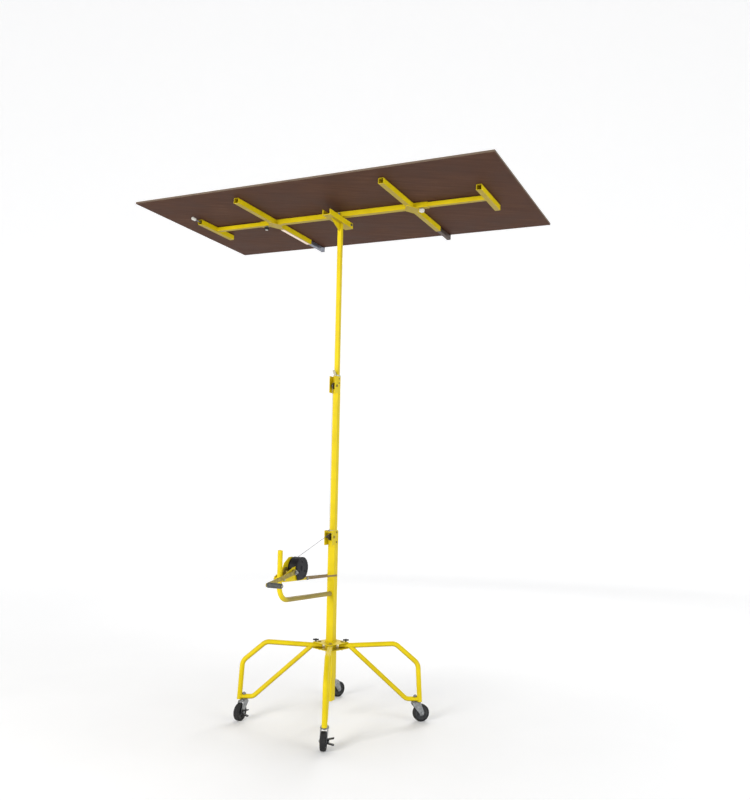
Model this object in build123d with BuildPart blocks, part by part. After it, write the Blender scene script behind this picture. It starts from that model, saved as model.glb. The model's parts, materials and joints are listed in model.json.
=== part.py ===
from build123d import *
import math
import os

# Drywall lift: a wheeled four-leg base, a three-stage telescopic mast raised by
# a hand winch, and a tilting cradle that carries a sheet of board.
# Millimetres, +Z up, origin on the floor at the mast's axis.
# +X runs along the right leg and +Y along the back leg.
os.makedirs("parts", exist_ok=True)

# Mast, winch and cradle are turned in the base by this much about the mast.
UNIT_YAW = -26.4

# Base
TUBE_R = 15.0
TUBE_WALL = 2.0
BRACE_R = 14.0
RAIL_Z = 442.0
STEM_RADIUS = 520.0
RAIL_POINTS = [(50, 442), (115, 442), (396, 457), (536, 340), (548.9, 100)]
RAIL_RADII = [150, 60, 60]
BRACE_POINTS = [(547, 132), (466, 132), (112, 442)]
BRACE_RADIUS = 45.0
HINGE_RADIUS = 68.0
CLAMP_RADIUS = 92.0
HUB_SIDE = 161.2
HUB_PLATE = 4.0
HUB_GAP = 30.8

# Casters
WHEEL_R = 50.0
WHEEL_WIDTH = 32.0
TRAIL = 38.0
CROWN_TOP = 116.7

# Mast: outer width, wall and the heights of the two ends, mast raised
BASE_TUBE = (48.0, 2.5, 117.0, 1130.0)
MIDDLE_TUBE = (36.0, 1.5, 980.0, 2105.0)
TOP_TUBE = (28.0, 2.0, 1955.0, 3110.0)
LOWER_SHEAVE = (-39.75, 1098.0)
UPPER_SHEAVE = (-35.25, 2040.0)
SHEAVE_PITCH = 20.0
LIFT_CABLE_R = 1.5
UPPER_CABLE_R = 1.0

# Winch
DRUM_CENTRE = (-420.0, 941.0)
DRUM_WRAP_R = 54.0
DRUM_FLANGE_R = 58.5
DRUM_GEAR_R = 60.0
PINION_R = 27.0
COVER_R = 63.0
COVER_NECK = (-462.0, 889.0)
ARM_POST_Y = -600.0
CRANK_CENTRE = (-506.0, 925.0)
CRANK_END = (-784.0, 884.0)

# Cradle, measured from the underside of the board
BOARD_UNDERSIDE = 3186.0
CRADLE_SLOPE = 2.0
BEAM_SIZE = 34.0
BEAM_Z = -17.3
BEAM_HALF = 617.0
CROSSARM_X = 506.0
CROSSARM_HALF = 450.0
T_BAR_X = 1004.0
T_BAR_Z = BEAM_Z - 1.0
T_BAR_HALF = 182.0
EXTENSION_SIZE = 28.0
EXTENSION_INNER = 385.0
HOOK_INNER = 200.0
KNOB_X = 575.0
SIDE_PIVOT = (95.0, BOARD_UNDERSIDE - 57.0)
BOARD = (2440.0, 1220.0, 12.0)
BOARD_SHIFT = 34.0

BASE = Location((0, 0, 0))
UNIT = Location((0, 0, 0), (0, 0, UNIT_YAW))
PIVOT_Z = BOARD_UNDERSIDE + BEAM_Z
TO_PIVOT = Location((0, 0, PIVOT_Z), (0, CRADLE_SLOPE, 0))
CRADLE = UNIT * TO_PIVOT * Location((0, 0, -BEAM_Z))


def write(piece, name, place=BASE):
    """Set a finished piece in its place, label it and write its file."""
    placed = place * piece
    placed.label = name
    export_step(placed, f"parts/{name}.step")


def tube_section(size, wall):
    """Square tube section with rounded corners, in the open sketch."""
    inner = size - 2 * wall
    RectangleRounded(size, size, 1.5 * wall)
    RectangleRounded(inner, inner, 0.5 * wall, mode=Mode.SUBTRACT)


def ring_section(outer, inner, outer_corner, inner_corner):
    """Square ring section of a plastic guide, in the open sketch."""
    RectangleRounded(outer, outer, outer_corner)
    RectangleRounded(inner, inner, inner_corner, mode=Mode.SUBTRACT)


def side_plane(x):
    """Plane facing +X at x, drawn in y and z."""
    return Plane(origin=(x, 0, 0), x_dir=(0, 1, 0), z_dir=(1, 0, 0))


def front_plane(y):
    """Plane facing -Y at y, drawn in x and z."""
    return Plane(origin=(0, y, 0), x_dir=(1, 0, 0), z_dir=(0, -1, 0))


# ---------------------------------------------------------------- base

def leg(hinge_hole_r, clamp_hole_r):
    """One leg: a bent rail, welded to a foot tube that runs up as its brace."""
    with BuildPart() as frame:
        with BuildLine(Plane.XZ) as rail:
            FilletPolyline(*RAIL_POINTS, radius=RAIL_RADII)
        with BuildLine(Plane.XZ) as brace:
            FilletPolyline(*BRACE_POINTS, radius=BRACE_RADIUS)
        rail_path = rail.wires()[0]
        brace_path = brace.wires()[0]
        rail_start = Plane(origin=rail_path @ 0, z_dir=rail_path % 0)
        brace_start = Plane(origin=brace_path @ 0, z_dir=brace_path % 0)
        with BuildSketch(rail_start) as rail_outer:
            Circle(TUBE_R)
        sweep(sections=rail_outer.sketch, path=rail_path)
        with BuildSketch(brace_start) as brace_outer:
            Circle(BRACE_R)
        sweep(sections=brace_outer.sketch, path=brace_path)
        with BuildSketch(rail_start) as rail_inner:
            Circle(TUBE_R - TUBE_WALL)
        sweep(sections=rail_inner.sketch, path=rail_path, mode=Mode.SUBTRACT)
        with BuildSketch(brace_start) as brace_inner:
            Circle(BRACE_R - TUBE_WALL)
        sweep(sections=brace_inner.sketch, path=brace_path, mode=Mode.SUBTRACT)
        # The rail is cut off level with the underside of the foot tube.
        split(bisect_by=Plane.XY.offset(117), keep=Keep.TOP)
        # Bolt holes through the rail and the foot tube.
        with BuildSketch(Plane.XY.offset(420)) as hub_holes:
            with Locations((HINGE_RADIUS, 0)):
                Circle(hinge_hole_r)
            if clamp_hole_r:
                with Locations((CLAMP_RADIUS, 0)):
                    Circle(clamp_hole_r)
        extrude(hub_holes.sketch, amount=45, mode=Mode.SUBTRACT)
        with BuildSketch(Plane.XY.offset(112)) as stem_hole:
            with Locations((STEM_RADIUS, 0)):
                Circle(6)
        extrude(stem_hole.sketch, amount=40, mode=Mode.SUBTRACT)
    return frame.part


fixed_leg = leg(5.0, 5.0)
folding_leg = leg(5.05, 0)
write(folding_leg, "right_leg", Location((0, 0, 0), (0, 0, 0)))
write(fixed_leg, "back_leg", Location((0, 0, 0), (0, 0, 90)))
write(folding_leg, "left_leg", Location((0, 0, 0), (0, 0, 180)))
write(fixed_leg, "front_leg", Location((0, 0, 0), (0, 0, 270)))

# Two diamond plates on a square socket that grips the foot of the mast.
LOWER_PLATE_Z = RAIL_Z - HUB_GAP / 2 - HUB_PLATE
UPPER_PLATE_Z = RAIL_Z + HUB_GAP / 2
with BuildPart() as hub:
    for plate_z in (LOWER_PLATE_Z, UPPER_PLATE_Z):
        with BuildSketch(Plane.XY.offset(plate_z)):
            RectangleRounded(HUB_SIDE, HUB_SIDE, 14, rotation=45)
            with PolarLocations(HINGE_RADIUS, 4):
                Circle(5, mode=Mode.SUBTRACT)
            with PolarLocations(CLAMP_RADIUS, 2, start_angle=90):
                Circle(5, mode=Mode.SUBTRACT)
            if plate_z == UPPER_PLATE_Z:
                with PolarLocations(CLAMP_RADIUS, 2):
                    Circle(4.2, mode=Mode.SUBTRACT)
        extrude(amount=HUB_PLATE)
    with BuildSketch(Plane.XY.offset(418)):
        RectangleRounded(54, 54, 6.75, rotation=UNIT_YAW)
    extrude(amount=52)
    with BuildSketch(Plane.XY.offset(418)):
        RectangleRounded(48, 48, 3.75, rotation=UNIT_YAW)
    extrude(amount=52, mode=Mode.SUBTRACT)
write(hub.part, "leg_hub")


def caster_bolt():
    """The hex bolt that a caster swivels on, with its nut under the crown."""
    with BuildPart() as bolt:
        with BuildSketch(Plane.XY.offset(147)):
            RegularPolygon(10.39, 6)
        extrude(amount=7)
        with BuildSketch(Plane.XY.offset(97)):
            Circle(6)
        extrude(amount=50)
        with BuildSketch(Plane.XY.offset(99.5)):
            RegularPolygon(10.39, 6)
        extrude(amount=8.5)
    return bolt.part


stem_bolt = caster_bolt()
write(stem_bolt, "right_caster_bolt", Location((STEM_RADIUS, 0, 0)))
write(stem_bolt, "left_caster_bolt", Location((-STEM_RADIUS, 0, 0)))

# Hub bolts on all four legs, and the caster bolts of the two fixed legs.
with BuildPart() as leg_bolts:
    hinge_spots = PolarLocations(HINGE_RADIUS, 4)
    fixed_spots = PolarLocations(CLAMP_RADIUS, 2, start_angle=90)
    for spots in (hinge_spots, fixed_spots):
        with BuildSketch(Plane.XY.offset(UPPER_PLATE_Z + HUB_PLATE)):
            with spots:
                RegularPolygon(9.24, 6)
        extrude(amount=6.5)
        with BuildSketch(Plane.XY.offset(LOWER_PLATE_Z - 10)):
            with spots:
                Circle(5)
        extrude(amount=2 * HUB_PLATE + HUB_GAP + 10)
        with BuildSketch(Plane.XY.offset(LOWER_PLATE_Z - 8)):
            with spots:
                RegularPolygon(9.24, 6)
        extrude(amount=8)
    with Locations((0, STEM_RADIUS, 0), (0, -STEM_RADIUS, 0)):
        add(stem_bolt)

# Wing knob that clamps a folding leg between the hub plates.
with BuildPart() as leg_knob:
    with BuildSketch(Plane.XY.offset(457.6)):
        Circle(4)
    extrude(amount=14)
    with BuildSketch(Plane.XY.offset(470)):
        SlotOverall(36, 12)
    extrude(amount=8)
    with BuildSketch(Plane.XY.offset(468.5)):
        Circle(8)
    extrude(amount=11)
    fillet(leg_knob.faces().sort_by(Axis.Z)[-1].edges(), 1)
write(leg_knob.part, "right_leg_knob", Location((CLAMP_RADIUS, 0, 0)))
write(leg_knob.part, "left_leg_knob", Location((-CLAMP_RADIUS, 0, 0)))


# ------------------------------------------------------------- casters

def caster_fork(axle_end):
    """Swivel fork: crown, bridge, two cheeks and the riveted axle."""
    with BuildPart() as fork:
        with BuildSketch(Plane.XY.offset(111.5)):
            Circle(23.5)
        extrude(amount=CROWN_TOP - 111.5)
        with BuildSketch(Plane.XY.offset(108.5)):
            with Locations((7, 0)):
                RectangleRounded(54, 40.6, 5)
        extrude(amount=3)
        for inner in (17.3, -20.3):
            with BuildSketch(front_plane(inner + 3)):
                Polygon(
                    (-19, 109.5), (33, 109.5), (53, 54), (48, 39),
                    (30, 37), (22, 52), (-19, 100), align=None)
                fillet(vertices().sort_by(Axis.Y)[:4], 4)
            extrude(amount=3)
        with BuildSketch(front_plane(axle_end)):
            with Locations((TRAIL, WHEEL_R)):
                Circle(5)
        extrude(amount=axle_end + 23.5)
        with BuildSketch(front_plane(-20.3)):
            with Locations((TRAIL, WHEEL_R)):
                Circle(8)
        extrude(amount=3.2)
        with BuildSketch(front_plane(axle_end)):
            with Locations((TRAIL, WHEEL_R)):
                Circle(8)
        extrude(amount=2.7)
        with BuildSketch(Plane.XY.offset(105)):
            Circle(6.05)
        extrude(amount=20, mode=Mode.SUBTRACT)
    return fork.part


with BuildPart() as wheel:
    with BuildSketch(front_plane(13)):
        with Locations((TRAIL, WHEEL_R)):
            Circle(38)
    extrude(amount=26)
    # A shallow dish on each side, between the boss and the rim.
    for dish_y in (13, -8):
        with BuildSketch(front_plane(dish_y)):
            with Locations((TRAIL, WHEEL_R)):
                Circle(32)
                Circle(15, mode=Mode.SUBTRACT)
        extrude(amount=5, mode=Mode.SUBTRACT)
    with BuildSketch(front_plane(16.8)):
        with Locations((TRAIL, WHEEL_R)):
            Circle(11)
    extrude(amount=33.6)
    with BuildSketch(front_plane(18)):
        with Locations((TRAIL, WHEEL_R)):
            Circle(5.05)
    extrude(amount=36, mode=Mode.SUBTRACT)

with BuildPart() as tyre:
    with BuildSketch(front_plane(WHEEL_WIDTH / 2)):
        with Locations((TRAIL, WHEEL_R)):
            Circle(WHEEL_R)
            Circle(38, mode=Mode.SUBTRACT)
    extrude(amount=WHEEL_WIDTH)
    outer_edges = tyre.edges().filter_by(GeomType.CIRCLE).sort_by(SortBy.RADIUS)[-2:]
    fillet(outer_edges, 5)

# Brake lever on the end of the axle, with two flared lobes.
with BuildPart() as brake:
    with BuildSketch(front_plane(26.3)):
        with Locations((TRAIL, WHEEL_R)):
            Circle(12)
    extrude(amount=5.7)
    with BuildSketch(side_plane(TRAIL)):
        for side in (1, -1):
            Polygon(
                (20.6, 50 + 8.6 * side), (26.3, 50 + 8.6 * side),
                (57, 50 + 14.5 * side), (57, 50 + 21 * side),
                (20.6, 50 + 13 * side), align=None)
    extrude(amount=9, both=True)
    with BuildSketch(front_plane(30)):
        with Locations((TRAIL, WHEEL_R)):
            Circle(5.05)
    extrude(amount=12, mode=Mode.SUBTRACT)

plain_fork = caster_fork(23.0)
braked_fork = caster_fork(29.5)
# Bearing of each stem from the mast, bearing the wheel trails to, and brake.
CASTERS = {
    "right": (0, 15, False),
    "back": (90, 40, False),
    "left": (180, 245, True),
    "front": (270, 266, True),
}
for side, (bearing, trail_bearing, has_brake) in CASTERS.items():
    stem_x = STEM_RADIUS * math.cos(math.radians(bearing))
    stem_y = STEM_RADIUS * math.sin(math.radians(bearing))
    place = Location((stem_x, stem_y, 0), (0, 0, trail_bearing))
    write(braked_fork if has_brake else plain_fork, f"{side}_caster_fork", place)
    write(wheel.part, f"{side}_caster_wheel", place)
    write(tyre.part, f"{side}_caster_tyre", place)
    if has_brake:
        write(brake.part, f"{side}_caster_brake", place)


# ---------------------------------------------------------------- mast

BRACKET_SCREW_Y = -8.0
LOWER_SCREW_Z = (1126.0, 1066.0)
UPPER_SCREW_Z = (2088.0, 2060.0)

size, wall, low, high = BASE_TUBE
with BuildPart() as base_tube:
    with BuildSketch(Plane.XY.offset(low)):
        tube_section(size, wall)
    extrude(amount=high - low)
    # The sheave dips into the tube through a slot in its front wall.
    with BuildSketch(front_plane(-20)):
        with Locations((0, LOWER_SHEAVE[1])):
            RectangleRounded(13, 48, 4)
    extrude(amount=6, mode=Mode.SUBTRACT)
    with BuildSketch(side_plane(-30)):
        with Locations(*[(BRACKET_SCREW_Y, z) for z in LOWER_SCREW_Z]):
            Circle(3)
    extrude(amount=60, mode=Mode.SUBTRACT)
write(base_tube.part, "base_mast_tube", UNIT)

size, wall, low, high = MIDDLE_TUBE
with BuildPart() as middle_tube:
    with BuildSketch(Plane.XY.offset(low)):
        tube_section(size, wall)
    extrude(amount=high - low)
    with BuildSketch(front_plane(-15)):
        with Locations((0, UPPER_SHEAVE[1])):
            RectangleRounded(12, 48, 4)
    extrude(amount=5, mode=Mode.SUBTRACT)
    with BuildSketch(side_plane(-30)):
        with Locations(*[(BRACKET_SCREW_Y, z) for z in UPPER_SCREW_Z]):
            Circle(2.5)
    extrude(amount=60, mode=Mode.SUBTRACT)
write(middle_tube.part, "middle_mast_tube", UNIT)

size, wall, low, high = TOP_TUBE
with BuildPart() as top_tube:
    with BuildSketch(Plane.XY.offset(low)):
        tube_section(size, wall)
    extrude(amount=high - low)
write(top_tube.part, "top_mast_tube", UNIT)

# Plastic guides: a collar in the mouth of each outer tube and a shoe on the
# foot of each inner tube.
with BuildPart() as base_guide:
    with BuildSketch(Plane.XY.offset(1113)):
        ring_section(43, 36.3, 1.25, 2.25)
    extrude(amount=17)
    with BuildSketch(Plane.XY.offset(1130)):
        ring_section(48, 36.3, 3.75, 2.25)
    extrude(amount=8)
write(base_guide.part, "base_top_guide", UNIT)

with BuildPart() as middle_shoe:
    with BuildSketch(Plane.XY.offset(975)):
        ring_section(42.8, 31, 1.25, 1)
    extrude(amount=5)
    with BuildSketch(Plane.XY.offset(980)):
        ring_section(42.8, 36, 1.25, 2.25)
    extrude(amount=20)
write(middle_shoe.part, "middle_foot_guide", UNIT)

with BuildPart() as middle_guide:
    with BuildSketch(Plane.XY.offset(2088)):
        ring_section(33, 28.3, 0.75, 3)
    extrude(amount=17)
    with BuildSketch(Plane.XY.offset(2105)):
        ring_section(36, 28.3, 2.25, 3)
    extrude(amount=8)
    # A slanted ear at the front keeps the cable off the tube's mouth.
    with BuildSketch(side_plane(0)):
        Polygon((-16, 2106), (-16, 2113), (-20, 2113), (-43, 2140), (-47, 2136),
                (-24, 2106), align=None)
    extrude(amount=7, both=True)
write(middle_guide.part, "middle_top_guide", UNIT)

with BuildPart() as top_shoe:
    with BuildSketch(Plane.XY.offset(1950)):
        ring_section(32.8, 23, 0.75, 1)
    extrude(amount=5)
    with BuildSketch(Plane.XY.offset(1955)):
        ring_section(32.8, 28, 0.75, 3)
    extrude(amount=20)
write(top_shoe.part, "top_foot_guide", UNIT)


def pulley_bracket(half_inner, metal, face_y, profile, web_z, slot_w, sheave,
                   axle_r, screw_r, screw_zs):
    """Open-fronted channel whose cheeks wrap the sides of a mast tube."""
    with BuildPart() as bracket:
        for inner in (half_inner, -half_inner - metal):
            with BuildSketch(side_plane(inner)):
                Polygon(*profile, align=None)
                fillet(vertices(), 3)
            extrude(amount=metal)
        with BuildSketch(front_plane(face_y)):
            with Locations((0, sum(web_z) / 2)):
                Rectangle(2 * half_inner, web_z[1] - web_z[0])
            with Locations((0, sheave[1])):
                RectangleRounded(slot_w, 48, 4, mode=Mode.SUBTRACT)
        extrude(amount=metal)
        with BuildSketch(side_plane(-40)):
            with Locations(sheave):
                Circle(axle_r)
            with Locations(*[(BRACKET_SCREW_Y, z) for z in screw_zs]):
                Circle(screw_r)
        extrude(amount=80, mode=Mode.SUBTRACT)
    return bracket.part


SHELF_Z = 1127.0
lower_profile = [(10, 1048), (10, 1138), (-66, 1138), (-66, 1048)]
lower_channel = pulley_bracket(24.3, 3.0, -24.0, lower_profile, (1052, 1134), 13,
                               LOWER_SHEAVE, 4.0, 3.0, LOWER_SCREW_Z)
with BuildPart() as lower_bracket:
    add(lower_channel)
    # Shelf between the cheeks where the upper cable is made fast.
    with BuildSketch(Plane.XY.offset(SHELF_Z)):
        with Locations((0, -55.25)):
            Rectangle(48.6, 11)
    extrude(amount=3)
write(lower_bracket.part, "lower_pulley_bracket", UNIT)

upper_profile = [(8, 1995), (8, 2101), (-60, 2101), (-60, 1995)]
upper_channel = pulley_bracket(18.3, 2.5, -18.0, upper_profile, (1996, 2094), 12,
                               UPPER_SHEAVE, 4.0, 2.5, UPPER_SCREW_Z)
write(upper_channel, "upper_pulley_bracket", UNIT)


def grooved_sheave(centre, outer_r, groove_r, groove_w, width, hub_half):
    """Grooved pulley wheel with a long hub that keeps it centred."""
    with BuildPart() as pulley:
        with BuildSketch(side_plane(0)):
            with Locations(centre):
                Circle(outer_r)
        extrude(amount=width / 2, both=True)
        with BuildSketch(side_plane(0)):
            with Locations(centre):
                Circle(outer_r + 1)
                Circle(groove_r, mode=Mode.SUBTRACT)
        extrude(amount=groove_w / 2, both=True, mode=Mode.SUBTRACT)
        with BuildSketch(side_plane(0)):
            with Locations(centre):
                Circle(7)
        extrude(amount=hub_half, both=True)
        with BuildSketch(side_plane(0)):
            with Locations(centre):
                Circle(4.05)
        extrude(amount=hub_half, both=True, mode=Mode.SUBTRACT)
    return pulley.part


write(grooved_sheave(LOWER_SHEAVE, 21.2, 18.3, 3.6, 9, 23.8), "lower_sheave", UNIT)
write(grooved_sheave(UPPER_SHEAVE, 20.9, 18.8, 2.6, 8, 17.9), "upper_sheave", UNIT)


def pulley_fasteners(half_outer, sheave, screw_r, tip, screw_zs):
    """The sheave's axle bolt and the short screws that hold its bracket."""
    with BuildPart() as fasteners:
        with BuildSketch(side_plane(0)):
            with Locations(sheave):
                Circle(4)
        extrude(amount=half_outer, both=True)
        for start in (half_outer, -half_outer - 5):
            with BuildSketch(side_plane(start)):
                with Locations(sheave):
                    RegularPolygon(7.5, 6)
            extrude(amount=5)
        spots = [(BRACKET_SCREW_Y, z) for z in screw_zs]
        for start in (tip, -half_outer):
            with BuildSketch(side_plane(start)):
                with Locations(*spots):
                    Circle(screw_r)
            extrude(amount=half_outer - tip)
        for start in (half_outer, -half_outer - 3.6):
            with BuildSketch(side_plane(start)):
                with Locations(*spots):
                    RegularPolygon(2 * screw_r, 6)
            extrude(amount=3.6)
    return fasteners.part


# Every bolt of the base frame is one node: the legs' and the lower pulley's.
lower_fasteners = UNIT * pulley_fasteners(27.3, LOWER_SHEAVE, 3.0, 21.8,
                                          LOWER_SCREW_Z)
with BuildPart() as frame_bolts:
    add(leg_bolts.part)
    add(lower_fasteners)
write(frame_bolts.part, "frame_bolts")
write(pulley_fasteners(20.8, UPPER_SHEAVE, 2.5, 16.7, UPPER_SCREW_Z),
      "upper_pulley_bolts", UNIT)


# --------------------------------------------------------------- winch

POST_ROD = (ARM_POST_Y, 894.0)
with BuildPart() as winch_arm:
    with BuildLine(Plane.YZ) as arm_line:
        FilletPolyline((-20, 753.7), (ARM_POST_Y, 778), (ARM_POST_Y, 1047),
                       radius=85)
    arm_path = arm_line.wires()[0]
    arm_start = Plane(origin=arm_path @ 0, z_dir=arm_path % 0)
    with BuildSketch(arm_start) as arm_outer:
        Circle(14)
    sweep(sections=arm_outer.sketch, path=arm_path)
    with BuildSketch(arm_start) as arm_inner:
        Circle(12)
    sweep(sections=arm_inner.sketch, path=arm_path, mode=Mode.SUBTRACT)
    split(bisect_by=front_plane(-BASE_TUBE[0] / 2), keep=Keep.TOP)
    # Cross hole for the rod that ties the winch's side plates to the post.
    with BuildSketch(side_plane(-20)) as rod_hole:
        with Locations(POST_ROD):
            Circle(5.05)
    extrude(rod_hole.sketch, amount=40, mode=Mode.SUBTRACT)
write(winch_arm.part, "winch_arm_tube", UNIT)

# Two flat bars welded to the sides of the mast widen into the winch's side
# plates, tied together by the drum's axle and two rods.
LEFT_PLATE = [(10, 857), (10, 867), (-360, 883), (-378, 930), (-430, 1004),
              (-468, 1004), (-515, 975), (-540, 935), (-614, 908), (-614, 880)]
RIGHT_PLATE = [(10, 857), (10, 867), (-385, 885), (-396, 948), (-412, 962),
               (-506, 952), (-614, 908), (-614, 880)]
with BuildPart() as winch_frame:
    for outline, start in ((LEFT_PLATE, -28), (RIGHT_PLATE, 24)):
        with BuildSketch(side_plane(start)):
            Polygon(*outline, align=None)
            fillet(vertices().sort_by(Axis.X)[:-2], 8)
        extrude(amount=4)
    with BuildSketch(side_plane(-28)):
        with Locations(CRANK_CENTRE):
            Circle(8.05)
    extrude(amount=56, mode=Mode.SUBTRACT)
    with BuildSketch(side_plane(-32)):
        with Locations(DRUM_CENTRE):
            Circle(6)
    extrude(amount=64)
    with BuildSketch(side_plane(-32)):
        with Locations(POST_ROD, (-350, 876)):
            Circle(5)
    extrude(amount=64)
    # Spacer tubes between the plates and the post.
    for start in (-24, 14.3):
        with BuildSketch(side_plane(start)):
            with Locations(POST_ROD):
                Circle(9)
        extrude(amount=9.7)
    with BuildSketch(side_plane(28)):
        with Locations(DRUM_CENTRE):
            RegularPolygon(11, 6)
    extrude(amount=6)
write(winch_frame.part, "winch_frame", UNIT)

# Drum cover: a rim round the drum and a pear-shaped face outside the right
# plate, with a slot at the top where the cable leaves.
with BuildPart() as cover:
    with BuildSketch(side_plane(-18.4)):
        with Locations(DRUM_CENTRE):
            Circle(COVER_R)
            Circle(COVER_R - 1.6, mode=Mode.SUBTRACT)
    extrude(amount=18.4 + 34.4)
    with BuildSketch(side_plane(34.4)):
        with Locations(DRUM_CENTRE):
            Circle(COVER_R)
        with Locations(COVER_NECK):
            Circle(12)
        make_hull()
    extrude(amount=1.6)
    # The rim stands clear of the right plate's edges and the bar.
    with BuildSketch(side_plane(23.7)):
        Polygon((-340, 860), (-340, 886.5), (-384.6, 886.5), (-395.5, 948.5),
                (-411.5, 963), (-506, 953), (-620, 920), (-620, 860), align=None)
    extrude(amount=4.6, mode=Mode.SUBTRACT)
    with BuildSketch(Plane.XY.offset(960)):
        with Locations((0, -408)):
            RectangleRounded(12, 44, 4)
    extrude(amount=60, mode=Mode.SUBTRACT)
write(cover.part, "drum_cover", UNIT)

# Drum with its wound layers of cable; the left flange is the gear.
with BuildPart() as drum:
    with BuildSketch(side_plane(-22)):
        with Locations(DRUM_CENTRE):
            Circle(DRUM_WRAP_R)
    extrude(amount=44)
    with BuildSketch(side_plane(-23.5)):
        with Locations(DRUM_CENTRE):
            Circle(DRUM_GEAR_R)
    extrude(amount=4.5)
    with BuildSketch(side_plane(20)):
        with Locations(DRUM_CENTRE):
            Circle(DRUM_FLANGE_R)
    extrude(amount=3.5)
    with BuildSketch(side_plane(-24)):
        with Locations(DRUM_CENTRE):
            Circle(6.05)
    extrude(amount=48, mode=Mode.SUBTRACT)
write(drum.part, "winch_drum", UNIT)

# Crank: shaft with its pinion, flat arm and the pin that carries the grip.
with BuildPart() as crank:
    with BuildSketch(side_plane(-31)):
        with Locations(CRANK_CENTRE):
            Circle(8)
    extrude(amount=80)
    with BuildSketch(side_plane(-23.5)):
        with Locations(CRANK_CENTRE):
            Circle(PINION_R)
    extrude(amount=4.5)
    with BuildSketch(side_plane(29)):
        with Locations(CRANK_CENTRE):
            Circle(15)
    extrude(amount=17)
    crank_span = Vector(*CRANK_END) - Vector(*CRANK_CENTRE)
    crank_middle = (Vector(*CRANK_CENTRE) + Vector(*CRANK_END)) / 2
    crank_angle = math.degrees(math.atan2(crank_span.Y, crank_span.X))
    with BuildSketch(side_plane(40)):
        with Locations((crank_middle.X, crank_middle.Y)):
            SlotCenterToCenter(crank_span.length, 22, rotation=crank_angle)
    extrude(amount=6)
    with BuildSketch(side_plane(44)):
        with Locations(CRANK_END):
            Circle(5)
    extrude(amount=94)
    with BuildSketch(side_plane(135)):
        with Locations(CRANK_END):
            Circle(8)
    extrude(amount=3)
write(crank.part, "crank_arm", UNIT)

with BuildPart() as grip:
    with BuildSketch(side_plane(46.4)):
        with Locations(CRANK_END):
            Circle(14)
            Circle(5.05, mode=Mode.SUBTRACT)
    extrude(amount=88.2)
    rims = grip.edges().filter_by(GeomType.CIRCLE).sort_by(SortBy.RADIUS)[-2:]
    fillet(rims, 4)
write(grip.part, "crank_grip", UNIT)


# -------------------------------------------------------------- cables

def round_cable(path, radius):
    """A cable of one radius along a path."""
    with BuildPart() as cable:
        with BuildSketch(Plane(origin=path @ 0, z_dir=path % 0)) as section:
            Circle(radius)
        sweep(sections=section.sketch, path=path)
    return cable.part


# Straight from the top of the drum to the top of the lower sheave, over it and
# down to the level of its axle.
WRAP_PITCH = DRUM_WRAP_R + LIFT_CABLE_R + 0.3
across = LOWER_SHEAVE[0] - DRUM_CENTRE[0]
rise = LOWER_SHEAVE[1] - DRUM_CENTRE[1]
reach = math.hypot(across, rise)
lean = math.atan2(rise, across) + math.acos((WRAP_PITCH - SHEAVE_PITCH) / reach)
toward = (math.cos(lean), math.sin(lean))
drum_point = (DRUM_CENTRE[0] + WRAP_PITCH * toward[0],
              DRUM_CENTRE[1] + WRAP_PITCH * toward[1])
sheave_point = (LOWER_SHEAVE[0] + SHEAVE_PITCH * toward[0],
                LOWER_SHEAVE[1] + SHEAVE_PITCH * toward[1])
with BuildLine(Plane.YZ) as run_line:
    Line(drum_point, sheave_point)
    CenterArc(LOWER_SHEAVE, SHEAVE_PITCH, math.degrees(lean), -math.degrees(lean))
write(round_cable(run_line.wires()[0], LIFT_CABLE_R), "lift_cable_run", UNIT)

with BuildPart() as cable_drop:
    with BuildSketch(Plane.XY.offset(1000)):
        with Locations((0, LOWER_SHEAVE[0] + SHEAVE_PITCH)):
            Circle(LIFT_CABLE_R)
    extrude(amount=LOWER_SHEAVE[1] - 1000)
write(cable_drop.part, "lift_cable_drop", UNIT)

with BuildPart() as upper_run:
    with BuildSketch(Plane.XY.offset(SHELF_Z + 3)):
        with Locations((0, UPPER_SHEAVE[0] - SHEAVE_PITCH)):
            Circle(UPPER_CABLE_R)
    extrude(amount=UPPER_SHEAVE[1] - SHELF_Z - 3)
write(upper_run.part, "upper_cable_run", UNIT)

with BuildLine(Plane.YZ) as wrap_line:
    CenterArc(UPPER_SHEAVE, SHEAVE_PITCH, 180, -180)
write(round_cable(wrap_line.wires()[0], UPPER_CABLE_R), "upper_cable_wrap", UNIT)

with BuildPart() as upper_drop:
    with BuildSketch(Plane.XY.offset(1975)):
        with Locations((0, UPPER_SHEAVE[0] + SHEAVE_PITCH)):
            Circle(UPPER_CABLE_R)
    extrude(amount=UPPER_SHEAVE[1] - 1975)
write(upper_drop.part, "upper_cable_drop", UNIT)


# ---------------------------------------------------------------- head

HEAD_Z = BOARD_UNDERSIDE - 76
with BuildPart() as head:
    with BuildSketch(front_plane(120)):
        with Locations((0, HEAD_Z + 18)):
            Rectangle(56, 36)
        with Locations((0, HEAD_Z + 20)):
            Rectangle(48, 32, mode=Mode.SUBTRACT)
    extrude(amount=308)
    # Gusset between the channel and the front of the mast.
    with BuildSketch(side_plane(0)):
        Polygon((-14, HEAD_Z + 2), (-130, HEAD_Z + 2), (-130, HEAD_Z),
                (-14, HEAD_Z - 54), align=None)
    extrude(amount=2, both=True)
    with BuildSketch(side_plane(-30)):
        with Locations(SIDE_PIVOT):
            Circle(5.05)
    extrude(amount=60, mode=Mode.SUBTRACT)
write(head.part, "mast_head", UNIT)

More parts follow.
